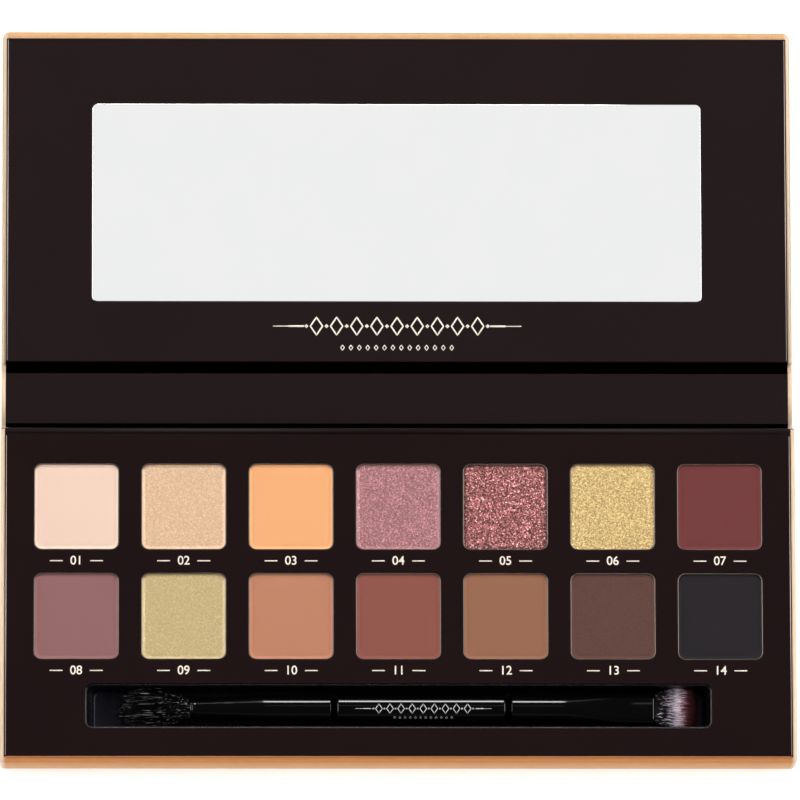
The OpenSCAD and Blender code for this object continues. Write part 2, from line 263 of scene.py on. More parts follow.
def lengthways(x, z, y):
    """Places a section drawn in X and Z at a distance along Y."""
    return (x, y, z)


# ---- materials ----

def srgb(red, green, blue, gain=1.0):
    """Linear colour of an 8-bit sRGB one, times a gain."""
    def linear(value):
        value /= 255
        return value / 12.92 if value <= 0.04045 else ((value + 0.055) / 1.055) ** 2.4
    return tuple(min(1.0, gain * linear(v)) for v in (red, green, blue)) + (1.0,)


def shade(colour, gain):
    """A linear colour made lighter or darker by a gain."""
    return tuple(min(1.0, gain * v) for v in colour[:3]) + (1.0,)


class Surface:
    """A procedural material: a Principled shader with its sockets set by name, and helpers for its nodes."""

    def __init__(self, name, **sockets):
        self.material = bpy.data.materials.new(name)
        self.material.use_nodes = True
        self.tree = self.material.node_tree
        self.shader = self.tree.nodes["Principled BSDF"]
        self.place = self.add("ShaderNodeTexCoord").outputs["Object"]
        for socket, value in sockets.items():
            self.set(socket.replace("_", " "), value)

    def set(self, socket, value):
        self.plug(self.shader.inputs[socket], value)

    def plug(self, socket, value):
        if isinstance(value, bpy.types.NodeSocket):
            self.tree.links.new(value, socket)
        else:
            socket.default_value = value

    def add(self, kind, inputs=(), **settings):
        node = self.tree.nodes.new(kind)
        for key, value in settings.items():
            setattr(node, key, value)
        for key, value in dict(inputs).items():
            self.plug(node.inputs[key], value)
        return node

    def maths(self, operation, *values):
        return self.add("ShaderNodeMath", enumerate(values), operation=operation).outputs[0]

    def vectors(self, operation, *values, **named):
        inputs = {**dict(enumerate(values)), **named}
        return self.add("ShaderNodeVectorMath", inputs, operation=operation).outputs[0]

    def axis(self, letter):
        """The place along one axis."""
        return self.add("ShaderNodeSeparateXYZ", {"Vector": self.place}).outputs[letter]

    def outward(self):
        """The distance to the left or right of the middle."""
        return self.maths("ABSOLUTE", self.axis("X"))

    def stretched(self, x, y, z):
        """Coordinates scaled along each axis."""
        return self.add("ShaderNodeMapping", {"Vector": self.place, "Scale": (x, y, z)}).outputs["Vector"]

    def noise(self, size, detail=3.0, vector=None):
        """Cloudy noise whose blotches are about size metres across."""
        inputs = {"Vector": vector or self.place, "Scale": 1 / size, "Detail": detail}
        return self.add("ShaderNodeTexNoise", inputs).outputs["Fac"]

    def cells(self, size, vector=None):
        """A random colour for each of many small cells."""
        inputs = {"Vector": vector or self.place, "Scale": 1 / size}
        return self.add("ShaderNodeTexVoronoi", inputs).outputs["Color"]

    def grey(self, colour):
        return self.add("ShaderNodeSeparateColor", {"Color": colour}).outputs["Red"]

    def spread(self, value, low, high, start=0.0, end=1.0):
        """A value rescaled from start..end to low..high."""
        inputs = {"Value": value, "From Min": start, "From Max": end, "To Min": low, "To Max": high}
        return self.add("ShaderNodeMapRange", inputs).outputs["Result"]

    def mix(self, factor, a, b):
        node = self.add("ShaderNodeMix", {"Factor": factor}, data_type="RGBA")
        self.plug(node.inputs[6], a)
        self.plug(node.inputs[7], b)
        return node.outputs[2]

    def ramp(self, value, stops):
        node = self.add("ShaderNodeValToRGB", {"Fac": value})
        elements = node.color_ramp.elements
        while len(elements) < len(stops):
            elements.new(0.5)
        for element, (position, colour) in zip(elements, stops):
            element.position = position
            element.color = colour
        return node.outputs["Color"]

    def bump(self, height, depth, normal=None):
        """A bump that is depth metres high."""
        node = self.add("ShaderNodeBump", {"Height": height, "Distance": depth})
        if normal:
            self.plug(node.inputs["Normal"], normal)
        return node.outputs["Normal"]

    def facets(self, cells, strength):
        """The surface's normal, turned a different way on each cell as on a bed of flakes."""
        centred = self.vectors("SUBTRACT", cells, (0.5, 0.5, 0.5))
        scaled = self.vectors("SCALE", centred, Scale=strength)
        flat = self.add("ShaderNodeNewGeometry").outputs["Normal"]
        return self.vectors("NORMALIZE", self.vectors("ADD", flat, scaled))

    def grained(self, grain, dark, light, rough=(), depth=0.0):
        """Mixes two colours by a grain. It may set the roughness too, as spread does, and make a bump."""
        self.set("Base Color", self.mix(grain, dark, light))
        if rough:
            self.set("Roughness", self.spread(grain, *rough))
        if depth:
            self.set("Normal", self.bump(grain, depth))
        return self.material


def flock_material(name, painted_front_shade=False):
    """Short peach-gold pile with fine mottling and a soft nap, with a painted sheen that makes it paler
    along its left and right edges.
    On the tray's front wall, painted shade makes it a deeper orange towards the rim."""
    s = Surface(name, Roughness=0.7, Specular_IOR_Level=0.2, Sheen_Weight=0.12, Sheen_Roughness=0.5,
                Sheen_Tint=srgb(255, 238, 216), Coat_Weight=0.14, Coat_Roughness=0.4, Coat_IOR=2.0)
    pile = s.noise(0.28 * MM, 5.0)
    nap = s.noise(3 * MM, 2.0)
    colour = s.mix(s.spread(pile, 0, 1, 0.3, 0.7), srgb(206, 150, 96), srgb(230, 182, 130))
    colour = s.mix(s.spread(nap, 0, 0.3, 0.35, 0.65), colour, srgb(232, 190, 144))
    _, y0, x1, _ = plan("tray_wrap")
    # Painted shade: the front wall is coloured a deeper orange towards the rim, where it faces away from the
    # lights.
    if painted_front_shade:
        front = s.spread(s.axis("Y"), 0, 1, y0 + 2.2 * MM, y0 + 1.6 * MM)
        rim = s.spread(s.axis("Z"), 0, 0.75, 2 * MM, 10 * MM)
        colour = s.mix(s.maths("MULTIPLY", front, rim), colour, srgb(210, 126, 50))
    # Painted sheen: a pale cream along the left and right edges, as the side lights make them look, stopping
    # just short of the outermost edge.
    edge = s.spread(s.outward(), 0, 0.7, x1 - 1.6 * MM, x1 - 0.8 * MM)
    wall = s.spread(s.outward(), 1, 0, x1 - 0.1 * MM, x1 - 0.01 * MM)
    s.set("Base Color", s.mix(s.maths("MULTIPLY", edge, wall), colour, srgb(242, 222, 198)))
    s.set("Normal", s.bump(pile, 0.12 * MM, s.bump(s.noise(0.1 * MM), 0.04 * MM)))
    return s.material


def card_material(name, dark, light):
    """Dark chocolate printed paper with a satin film."""
    s = Surface(name, Specular_IOR_Level=0.07)
    film = s.noise(0.5 * MM, 4.0)
    s.grained(s.noise(25 * MM, 2.0), dark, light)
    s.set("Roughness", s.spread(film, 0.36, 0.5, 0.3, 0.7))
    s.set("Normal", s.bump(film, 0.004 * MM))
    return s.material


def edge_highlight_material():
    """A pale grey, slightly metallic line that paints the highlight along a card's rounded edge."""
    s = Surface("painted_edge_highlight", Roughness=0.45, Metallic=0.3)
    return s.grained(s.noise(0.5 * MM, 4.0), srgb(158, 142, 132), srgb(204, 190, 180))


def lining_material():
    """Black matt paper with a little fibre in it, made fully black to paint the deep shade of the gutters as
    well.
    """
    s = Surface("fold_lining", Specular_IOR_Level=0.0)
    fibre = s.noise(0.3 * MM, 5.0, s.stretched(1, 3, 3))
    # Partly painted shade: the paper's colour is pure black, as dark as the gutters' shade.
    return s.grained(fibre, srgb(0, 0, 0), srgb(3, 2, 2), (0.7, 0.9), 0.02 * MM)


def gloss_material(name, colour, roughness, waves, specular=0.4, painted_floor_light=None):
    """Glossy black, with faint scuffs and a barely uneven surface. The last argument paints a pool of light:
    a colour, a height it reaches up to, and how far from the middle it starts."""
    s = Surface(name, Specular_IOR_Level=specular)
    scuff = s.noise(1.6 * MM, 6.0)
    body = s.mix(scuff, shade(colour, 0.6), colour)
    if painted_floor_light:
        grey, top, start = painted_floor_light
        # Painted light: the trough's floor is coloured paler where light falls on it.
        low = s.spread(s.axis("Z"), 1, 0, top - 1.4 * MM, top)
        far = s.spread(s.outward(), 0, 1, start, start + 6 * MM)
        body = s.mix(s.maths("MULTIPLY", low, far), body, grey)
    s.set("Base Color", body)
    s.set("Roughness", s.spread(scuff, roughness, roughness + 0.05, 0.45, 0.75))
    s.set("Normal", s.bump(s.noise(14 * MM, 1.0), waves))
    return s.material


def plastic_material():
    """Moulded black plastic, with painted pale light on the trough's floor beyond the brush's two ends."""
    floor = levels("brush_trough")[0] + 0.5 * MM
    painted_floor_light = (srgb(48, 45, 60), floor + 1.5 * MM, 69 * MM)
    return gloss_material("black_plastic", srgb(12, 11, 16), 0.25, 0.02 * MM, 0.2, painted_floor_light)


def mirror_material():
    """Silvered sheet, with a trace of haze."""
    s = Surface("mirror", Metallic=1.0)
    return s.grained(s.noise(12 * MM, 4.0), srgb(246, 247, 247), srgb(250, 250, 250), (0.0, 0.02, 0.5, 0.8))


def tin_material(name, colour, roughness):
    """Pressed tin with fine drawing marks."""
    s = Surface(name, Metallic=1.0)
    marks = s.noise(0.2 * MM, 3.0, s.stretched(1, 1, 0.1))
    return s.grained(marks, shade(colour, 0.85), colour, (roughness, roughness + 0.15), 0.003 * MM)


def board_material():
    """Grey recycled board with flecks of fibre."""
    s = Surface("greyboard", Roughness=0.9)
    fleck = s.noise(0.4 * MM, 6.0, s.stretched(1, 2.5, 4))
    stops = ((0.3, srgb(112, 104, 94)), (0.5, srgb(150, 140, 126)), (0.7, srgb(176, 168, 152)))
    s.set("Base Color", s.ramp(fleck, stops))
    s.set("Normal", s.bump(fleck, 0.05 * MM))
    return s.material


def glue_material():
    """Dried glue, slightly milky and uneven."""
    s = Surface("adhesive", Roughness=0.35)
    s.set("Normal", s.bump(s.noise(1 * MM), 0.05 * MM))
    return s.grained(s.noise(2 * MM), srgb(200, 190, 165), srgb(226, 220, 204))


def ink_material():
    """Cream foil print."""
    s = Surface("cream_ink", Specular_IOR_Level=0.4)
    return s.grained(s.noise(0.25 * MM), srgb(244, 226, 206), srgb(255, 246, 232), (0.4, 0.6))


def silver_ink_material():
    """Pale silver print on the brush."""
    s = Surface("silver_ink", Metallic=0.3)
    return s.grained(s.noise(0.3 * MM), srgb(150, 152, 152), srgb(196, 198, 198), (0.35, 0.5))


def black_hair_material():
    """Black hair with a few strands painted pale grey, as paler hairs and as glints on single hairs."""
    s = Surface("round_tuft_hair", Specular_IOR_Level=0.06)
    strand = s.grey(s.cells(0.14 * MM, s.stretched(0.04, 1, 1)))
    s.set("Roughness", s.spread(strand, 0.3, 0.45))
    # Partly painted glints: a few strands are coloured pale grey.
    return s.grained(s.spread(strand, 0, 1, 0.93, 0.99), srgb(1, 1, 2), srgb(205, 203, 208))


def banded_hair_material(mouth_x, tip_x):
    """Bristles that are black at the root, then white, then dark red to the tip, uneven between strands."""
    s = Surface("flat_tuft_hair", Specular_IOR_Level=0.15)
    strand = s.grey(s.cells(0.12 * MM, s.stretched(0.03, 1, 1)))
    shift = s.maths("ADD", s.spread(strand, -0.12, 0.12, 0.0, 0.9), s.spread(strand, 0, 0.22, 0.9, 0.97))
    along = s.spread(s.axis("X"), 0, 1, mouth_x, tip_x)
    stops = (
        (0.0, srgb(4, 4, 6)), (0.35, srgb(16, 14, 19)),
        (0.45, srgb(236, 224, 238)), (0.57, srgb(255, 242, 252)),
        (0.65, srgb(160, 84, 108)), (0.73, srgb(64, 12, 16)), (1.0, srgb(38, 6, 5)),
    )
    s.set("Base Color", s.ramp(s.maths("ADD", along, shift), stops))
    s.set("Roughness", s.spread(strand, 0.35, 0.55))
    return s.material


def chalk(s, base, kind):
    """Colours a matte powder: smooth chalk, or a coarser grain."""
    size, contrast = (0.32 * MM, 0.16) if kind == "grained" else (0.2 * MM, 0.04)
    grain = s.noise(size, 4.0)
    s.set("Roughness", s.spread(s.noise(6 * MM), 0.75, 0.9))
    s.set("Specular IOR Level", 0.08)
    s.set("Normal", s.bump(grain, 0.02 * MM))
    return s.mix(s.spread(grain, 0, 1, 0.3, 0.7), shade(base, 1 - contrast), shade(base, 1 + contrast))


def flaky(s, base, kind):
    """Colours a bed of bright flakes, painting most darker and lighter and a few as glints, as flakes turned
    from and towards the light look.
    """
    size, turn, dark, light, spark, metal = FLAKES[kind]
    flakes = s.cells(size * MM)
    bright = s.grey(flakes)
    warm = (base[0] * dark, base[1] * dark ** 1.3, base[2] * dark ** 1.6, 1.0)
    glint = tuple(min(1.0, v * spark + 0.01 * spark) for v in base[:3]) + (1.0,)
    s.set("Metallic", metal)
    s.set("Roughness", s.spread(bright, 0.55, 0.3))
    s.set("Normal", s.facets(flakes, turn))
    # Painted sparkle: flakes coloured darker and lighter, with a few painted glints, as the light would show
    # them.
    return s.ramp(bright, ((0.0, warm), (0.25, warm), (0.5, base), (0.85, shade(base, light)), (1.0, glint)))


def powder_material(slot, colour, kind, level):
    """Pressed powder. Where it rises above the bed's level along the dish's wall it is painted paler, as
    loose powder and as light on the wall, and where it crumbles or dips below the level it is painted darker
    as shade."""
    s = Surface(slot)
    base = srgb(*colour, gain=GAINS[kind])
    body = flaky(s, base, kind) if kind in FLAKES else chalk(s, base, kind)
    painted_shadow_tone = (0.8 * base[0], 0.65 * base[1], 0.55 * base[2], 1.0)
    height = s.axis("Z")
    # Partly painted light: paler where the powder rises above the bed's level.
    body = s.mix(s.spread(height, 0, 0.6, level + 0.02 * MM, level + 0.1 * MM), body, shade(base, 1.3))
    # Painted shade: darker where the powder lies below the bed's level.
    s.set("Base Color", s.mix(s.spread(height, 0, 0.8, level - 0.06 * MM, level - 0.3 * MM), body, painted_shadow_tone))
    return s.material


def flake_material(slot, colour):
    """Bright metallic flakes of a cake's own colour."""
    s = Surface(slot + "_flakes", Metallic=0.8)
    base = srgb(*colour)
    tone = s.noise(0.4 * MM, 1.0)
    s.set("Roughness", s.spread(tone, 0.2, 0.4))
    return s.grained(s.spread(tone, 0, 1, 0.35, 0.65), shade(base, 0.8), shade(base, 2.4))


# ---- tray ----

def shell(rect, radius, gap, profile):
    """A skin round three sides and the underside of a board. The profile is (inset, height) from the
    underside, round the wall and the rim, to the inside of the floor."""
    solid = Solid()
    lines = [solid.level(three_sides(rect, radius, inset, gap), z) for inset, z in profile]
    solid.bands(lines, closed=False)
    solid.cap(lines[0])
    solid.cap(lines[-1])
    solid.cap([line[0] for line in lines] + [line[-1] for line in reversed(lines)])
    return solid


def wall_profile(top, low_edge, rim_edge):
    """(inset, height) up a wrapped wall, round its lower edge and its rim."""
    return rounded_edge(low_edge)[::-1] + [(inset, top - drop) for inset, drop in rounded_edge(rim_edge)]


def tray_skin(flock):
    """The flocked wrap of the tray, with rounded lower and upper edges, turned over the walls' rims."""
    top = levels("tray_wrap")[1]
    wrap = levels("bottom_wrap")[1]
    inner, depth = 2.1 * MM, 4 * MM
    profile = wall_profile(top, 0.7 * MM, 0.95 * MM)
    profile += [(inner, top), (inner, top - depth), (inner - wrap, top - depth)]
    profile += [(inner - wrap, top - wrap), (wrap, top - wrap), (wrap, wrap)]
    skin = shell(plan("tray_wrap"), 1.2 * MM, "rear", profile)
    add_piece("tray_skin", skin, flock, ("tray_wrap", "bottom_wrap"), "tray")


def rear_cover(card):
    """Dark paper over the tray's back and rear rim, with a ledge under the face plate's rear edge."""
    _, y0, x1, y1 = plan("rear_lining")
    low, top = levels("rear_lining")
    sheet = levels("spine_lining")[1] - levels("spine_board")[1]
    _, _, half, plate_rear = plan("face_plate")
    back, ledge = y1 - sheet, top - 0.6 * sheet
    under = plate_rear - 0.4 * MM
    bend = [(y1 - inset, top - drop) for inset, drop in rounded_edge(0.35 * MM)]
    lap = [(y0, top), (y0, ledge), (under, ledge), (under, top - sheet), (back, top - sheet), (back, low)]
    solid = prism(Solid(), [(y1, low)] + bend + lap, across, -half, half)
    end = [(y1, low), (y1, top - sheet), (back, top - sheet), (back, low)]
    for side in (-1, 1):
        prism(solid, end, across, side * half, side * x1)
    add_piece("rear_cover", solid, card, ("rear_lining",), "tray")


def printed_plate(card):
    """The face plate with its die-cut windows and brush slot."""
    clearance = 0.1 * MM
    holes = [(plan(f"pan_{i:02d}", clearance), 2.2 * MM) for i in range(1, len(SHADES) + 1)]
    holes.append((trough_rect(clearance), 2.1 * MM))
    solid = plate(Solid(), plan("face_plate"), 0.3 * MM, *levels("face_plate"), 0.13 * MM, holes)
    add_piece("printed_plate", solid, card, ("face_plate",), "tray")


def trough_rect(grow=0.0):
    """The brush trough's mouth, found from the brush, as the node's box also holds the flange."""
    middle = brush_axis()[0] - 0.1 * MM
    half_w, half_d = 82.5 * MM + grow, 5.85 * MM + grow
    return (-half_w, middle - half_d, half_w, middle + half_d)


def trough_lip_level():
    """The height of the trough's lip, just below the face plate's upper side."""
    return levels("face_plate")[1] - 0.25 * MM


def rolled_lip(solid, rect, corner, wall, top):
    """Rings over the rounded lip of a thin wall, from its outside to its inside."""
    edge = rounded_edge(wall / 2)
    path = [(-inset, top - drop) for inset, drop in edge]
    path += [(inset - wall, top - drop) for inset, drop in edge[::-1]]
    return [solid.level(outline(rect, corner, grow), z) for grow, z in path]


def glossy_trough(plastic):
    """The moulded brush trough: a rounded lip, ends that slope in to the floor, and a hidden flange."""
    rect = x0, y0, x1, y1 = trough_rect()
    low, lip = levels("brush_trough")[0], trough_lip_level()
    corner, wall, fillet = 2 * MM, 0.45 * MM, 0.7 * MM
    end_draft, side_draft = 1.6 * MM, 0.15 * MM
    floor = low + 0.5 * MM
    depth = lip - floor
    solid = Solid()
    rings = [solid.level(outline(rect, corner), low)] + rolled_lip(solid, rect, corner, wall, lip)
    for inset, drop in rounded_edge(fillet):
        along = end_draft * (depth - fillet) / depth + inset
        side = side_draft + inset
        inner = (x0 + along, y0 + side, x1 - along, y1 - side)
        rings.append(solid.level(outline(inner, corner, -wall), floor + drop))
    solid.tube(rings)
    left, start, right, _ = plan("pan_tray")
    flange_top = levels("pan_tray")[1]
    flange = (left, plan("brush_trough")[1], right, start - 0.1 * MM)
    plate(solid, flange, 0.3 * MM, flange_top - 0.5 * MM, flange_top, 0.1 * MM, [(rect, corner)])
    add_piece("glossy_trough", solid, plastic, ("brush_trough",), "tray")


def trough_lip(plastic):
    """The trimmed lip of the brush trough, painted a paler grey than the rest as its highlight."""
    path = three_sides(trough_rect(), 2 * MM, 0.1 * MM, "rear")
    bead("trough_lip", path, trough_lip_level(), 0.1 * MM, plastic, "tray")


def pressed_pan(i, tin):
    """A shallow tin dish with a rounded foot and a rolled lip."""
    node = f"pan_{i:02d}"
    rect, corner, wall = plan(node), 2.1 * MM, 0.25 * MM
    low, top = levels(node)
    solid = Solid()
    foot = rounded_edge(0.5 * MM)[::-1]
    rings = [solid.level(outline(rect, corner, -inset), low + drop) for inset, drop in foot]
    rings += rolled_lip(solid, rect, corner, wall, top)
    rings.append(solid.level(outline(rect, corner, -wall), low + wall))
    add_piece(f"dish_{i:02d}", solid.tube(rings), tin, (node,), "tray")


def cake_marks(half, margins, cell):
    """Positions from -half to half: close together near both ends, then evenly spaced."""
    inner = half - margins[-1]
    count = max(2, round(2 * inner / cell))
    middle = [-inner + 2 * inner * k / count for k in range(1, count)]
    return [-half + m for m in margins] + middle + [half - m for m in reversed(margins)]


def into_corner(x, y, half_x, half_y, radius):
    """Moves a point of a rectangle into the same rectangle with rounded corners."""
    over_x, over_y = abs(x) - half_x + radius, abs(y) - half_y + radius
    if over_x <= 0 or over_y <= 0:
        return x, y
    a, b = over_x / radius, over_y / radius
    a, b = a * math.sqrt(1 - b * b / 2), b * math.sqrt(1 - a * a / 2)
    return (math.copysign(half_x - radius + a * radius, x), math.copysign(half_y - radius + b * radius, y))


def from_edge(x, y, half_x, half_y, radius):
    """How far a point lies inside a rounded rectangle's edge."""
    over_x, over_y = abs(x) - half_x + radius, abs(y) - half_y + radius
    if over_x > 0 and over_y > 0:
        return radius - math.hypot(over_x, over_y)
    return radius - max(over_x, over_y)


def powder_cake(i, kind, material):
    """Pressed powder: a level bed with a groove round it, which curls up on the dish's wall at the front and
    the sides, dips at the rear, and crumbles short of the wall where it is coarse."""
    node = f"powder_{i:02d}"
    x0, y0, x1, y1 = plan(node)
    low, top = levels(node)
    highest = levels(f"pan_{i:02d}")[1] - 0.18 * MM
    radius = 1.85 * MM
    half_x, half_y = (x1 - x0) / 2, (y1 - y0) / 2
    margins = [m * MM for m in (0, 0.06, 0.14, 0.24, 0.36, 0.5, 0.66, 0.84, 1.05)]
    cell, relief, size, curl, crumb = BEDS[kind]
    groove_depth, groove_width, dip = 0.11 * MM, 0.16 * MM, 0.12 * MM
    xs, ys = cake_marks(half_x, margins, cell * MM), cake_marks(half_y, margins, cell * MM)
    solid = Solid()

    def height(x, y):
        inside = from_edge(x, y, half_x, half_y, radius)
        x_mm, y_mm = x / MM, y / MM
        rough = relief * MM * noise.noise(Vector((x_mm / size + 17 * i, y_mm / size, 0.0)))
        margin = (0.9 + 0.15 * noise.noise(Vector((x_mm / 2 + 9 * i, y_mm / 2, 3.0)))) * MM
        near = max(0.0, 1 - inside / margin)
        rear = min(1.0, max(0.0, (y - half_y + 1.6 * MM) / (0.7 * MM)))
        groove = groove_depth * math.exp(-((inside - margin) / groove_width) ** 2)
        z = top + rough - groove + curl * MM * near ** 1.2 * (1 - rear) - dip * near * rear
        if crumb:
            ragged = noise.noise(Vector((x_mm / 0.35, y_mm / 0.35, 5.0 * i)))
            z -= crumb * MM * near * max(0.0, 0.5 + 1.2 * ragged)
        return min(z, highest)

    rows = []
    for v in ys:
        points = [into_corner(u, v, half_x, half_y, radius) for u in xs]
        rows.append(solid.ring([((x0 + x1) / 2 + x, (y0 + y1) / 2 + y, height(x, y)) for x, y in points]))
    solid.bands(rows, closed=False)
    left, right = [row[0] for row in rows], [row[-1] for row in rows]
    border = rows[0] + right[1:] + rows[-1][::-1][1:] + left[::-1][1:-1]
    base = solid.level([solid.points[k][:2] for k in border], low)
    solid.band(border, base)
    solid.cap(base)
    add_piece(f"cake_{i:02d}", solid, material, (node,), "tray")


def glitter_flakes(i, material):
    """Loose bright flakes that stand a little proud of a coarse cake."""
    rng = random.Random(100 + i)
    x0, y0, x1, y1 = plan(f"powder_{i:02d}", -0.7 * MM)
    top = levels(f"powder_{i:02d}")[1]
    count, smallest, largest, thick = 2600, 0.05 * MM, 0.15 * MM, 0.015 * MM
    solid = Solid()
    for _ in range(count):
        centre = Vector((rng.uniform(x0, x1), rng.uniform(y0, y1), top))
        normal = Vector((rng.gauss(0, 0.35), rng.gauss(0, 0.35), 1)).normalized()
        side = normal.orthogonal().normalized()
        other = normal.cross(side)
        size = rng.uniform(smallest, largest)
        turn = rng.uniform(0, math.pi)
        angles = [turn + angle for angle in full_turn(5)]
        corners = [centre + size * (side * math.cos(a) + other * math.sin(a)) for a in angles]
        lift = Vector((0, 0, 0.03 * MM + max(0.0, top - min(c.z for c in corners)) * 0.6))
        upper = solid.ring([tuple(c + lift) for c in corners])
        lower = solid.ring([tuple(c + lift - normal * thick) for c in corners])
        solid.flat.update(range(len(solid.faces), len(solid.faces) + len(corners)))
        solid.band(upper, lower)
        solid.face(upper)
        solid.face(lower)
    add_piece(f"flakes_{i:02d}", solid, material, (), "tray")


# ---- folds and spine ----

def spine_skin(flock):
    """The flocked wrap under the spine board, turned in over both of its short ends."""
    _, y0, x1, y1 = plan("spine_wrap")
    low, top = levels("spine_wrap")
    board_low, board_top = levels("spine_board")
    inner, board = plan("spine_lining")[2], plan("spine_board")[2]
    right = [(x1 - inset, low + drop) for inset, drop in rounded_edge(0.3 * MM)[::-1]]
    right += [(x1 - inset, top - drop) for inset, drop in rounded_edge(0.4 * MM)]
    right += [(inner, top), (inner, board_top), (board, board_top), (board, board_low)]
    section = right + [(-x, z) for x, z in reversed(right)]
    skin = prism(Solid(), section, lengthways, y0, y1)
    add_piece("spine_skin", skin, flock, ("spine_wrap",), "spine")


def spine_card(card):
    """The printed card on the inside of the spine."""
    solid = plate(Solid(), plan("spine_lining"), 0.2 * MM, *levels("spine_lining"), 0.1 * MM)
    add_piece("spine_card", solid, card, ("spine_lining",), "spine")


def gutter(y0, z0, y1, z1, floor):
    """Points along a paper gutter that comes down from one board's edge and climbs the next."""
    slope = 0.9 * MM
    points = []
    for k in range(FOLD_STEPS + 1):
        y = y0 + (y1 - y0) * k / FOLD_STEPS
        from_start, from_end = max(0.0, 1 - (y - y0) / slope), max(0.0, 1 - (y1 - y) / slope)
        ease = (1 - math.sqrt(1 - from_start ** 2), 1 - math.sqrt(1 - from_end ** 2))
        points.append((y, floor + (z0 - floor) * ease[0] + (z1 - floor) * ease[1]))
    return points


def strip(solid, top, sheet, half_from, half_to):
    """A bent sheet that follows a gutter, between two distances along X."""
    lower = [(y, max(0.02 * MM, z - sheet)) for y, z in top]
    return prism(solid, top + lower[::-1], across, half_from, half_to)


def fold(name, start_levels, end_levels, flock, lining):
    """One paper hinge: a black gutter between flocked borders, over the flocked outer wrap. The levels are
    the heights of the card and of the flock at each side of it."""
    _, y0, x1, y1 = plan(f"{name}_wrap")
    wrap = levels(f"{name}_wrap")[1]
    inner = plan(f"{name}_lining")[2]
    lining_low, lining_top = levels(f"{name}_lining")
    sheet = lining_top - lining_low
    floor = wrap + sheet
    (start_card, start_flock), (end_card, end_flock) = start_levels, end_levels
    marks = [y0 + (y1 - y0) * k / FOLD_STEPS for k in range(FOLD_STEPS + 1)]
    outer = [(y, wrap) for y in marks] + [(y, 0.0) for y in reversed(marks)]
    skin = prism(Solid(), outer, across, -x1, x1)
    border = gutter(y0, start_flock, y1, end_flock, floor)
    for side in (-1, 1):
        strip(skin, border, wrap, side * inner, side * (x1 - 0.05 * MM))
    paper = strip(Solid(), gutter(y0, start_card, y1, end_card, floor), sheet, -inner, inner)
    for piece in (
        add_piece(f"{name}_skin", skin, flock, (f"{name}_wrap",)),
        add_piece(f"{name}_gutter", paper, lining, (f"{name}_lining",)),
    ):
        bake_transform(piece)


# ---- lid ----

def lid_skin(flock):
    """The flocked wrap of the lid, turned in over three of its edges."""
    top = levels("lid_wrap")[1]
    wrap = levels("bottom_wrap")[1]
    turn_in = 8 * MM
    profile = wall_profile(top, 0.6 * MM, 1.1 * MM)
    profile += [(turn_in, top), (turn_in, top - wrap), (wrap, top - wrap), (wrap, wrap)]
    skin = shell(plan("lid_wrap"), 1.9 * MM, "front", profile)
    add_piece("lid_skin", skin, flock, ("lid_wrap",), "lid")


def lid_card(card):
    """The lid's inner panel with the mirror's window."""
    window = (plan("mirror", 0.1 * MM), 1.5 * MM)
    solid = plate(Solid(), plan("lid_panel"), 0.3 * MM, *levels("lid_panel"), 0.22 * MM, [window])
    add_piece("lid_card", solid, card, ("lid_panel",), "lid")


def lid_mirror(silver):
    """The mirror, with a fine ground edge."""
    solid = plate(Solid(), plan("mirror"), 1.4 * MM, *levels("mirror"), 0.1 * MM)
    add_piece("silvered_mirror", solid, silver, ("mirror",), "lid")


def bead(name, path, top, radius, material, body):
    """A fine half-round line along an open path of flat points, as a sheet's cut edge shows."""
    solid = Solid()
    arc = [math.pi * step / 6 for step in range(7)]
    rings = []
    for k, (x, y) in enumerate(path):
        before, after = path[max(0, k - 1)], path[min(len(path) - 1, k + 1)]
        along = Vector((after[0] - before[0], after[1] - before[1])).normalized()
        rings.append(solid.ring([(x - along.y * radius * math.cos(a), y + along.x * radius * math.cos(a),
                                  top + radius * (0.4 * math.sin(a) - 0.1)) for a in arc]))
    add_piece(name, solid.tube(rings), material, (), body)


def cut_edges(core, flock):
    """Painted highlights as fine pale grey lines just inside the left and right edges of the face plate and
    the lid's panel, and the fine line of pile that stands up along the plate's front edge."""
    inset, radius = 0.4 * MM, 0.1 * MM
    # The core material paints these lines pale grey as the highlights of the cards' rounded edges.
    for node, body in (("face_plate", "tray"), ("lid_panel", "lid")):
        x0, y0, x1, y1 = plan(node)
        for side, x in (("left", x0 + inset), ("right", x1 - inset)):
            path = [(x, y0 + inset), (x, y1 - inset)]
            bead(f"{node}_{side}_edge", path, levels(node)[1], radius, core, body)
    x0, y0, x1, _ = plan("face_plate")
    path = [(x, y0 + radius / 2) for x in (x0 + inset, x1 - inset)]
    bead("tray_skin_front_edge", path, levels("face_plate")[1], radius, flock, "tray")


# ---- print ----

def stroke(solid, path, width, place, closed=False):
    """A thin printed line along a path of flat points; place(x, y, height) puts it on its surface."""
    thick = 0.015 * MM
    count = len(path)
    rings = []
    for k, (x, y) in enumerate(path):
        before = path[k - 1] if closed or k > 0 else path[k]
        after = path[(k + 1) % count] if closed or k < count - 1 else path[k]
        along = Vector((after[0] - before[0], after[1] - before[1])).normalized()
        off_x, off_y = -along.y * width / 2, along.x * width / 2
        edges = ((x + off_x, y + off_y), (x - off_x, y - off_y))
        low = [place(a, b, 0.0) for a, b in edges]
        high = [place(a, b, thick) for a, b in reversed(edges)]
        rings.append(solid.ring(low + high))
    if closed:
        solid.bands(rings + [rings[0]])
    else:
        solid.tube(rings)


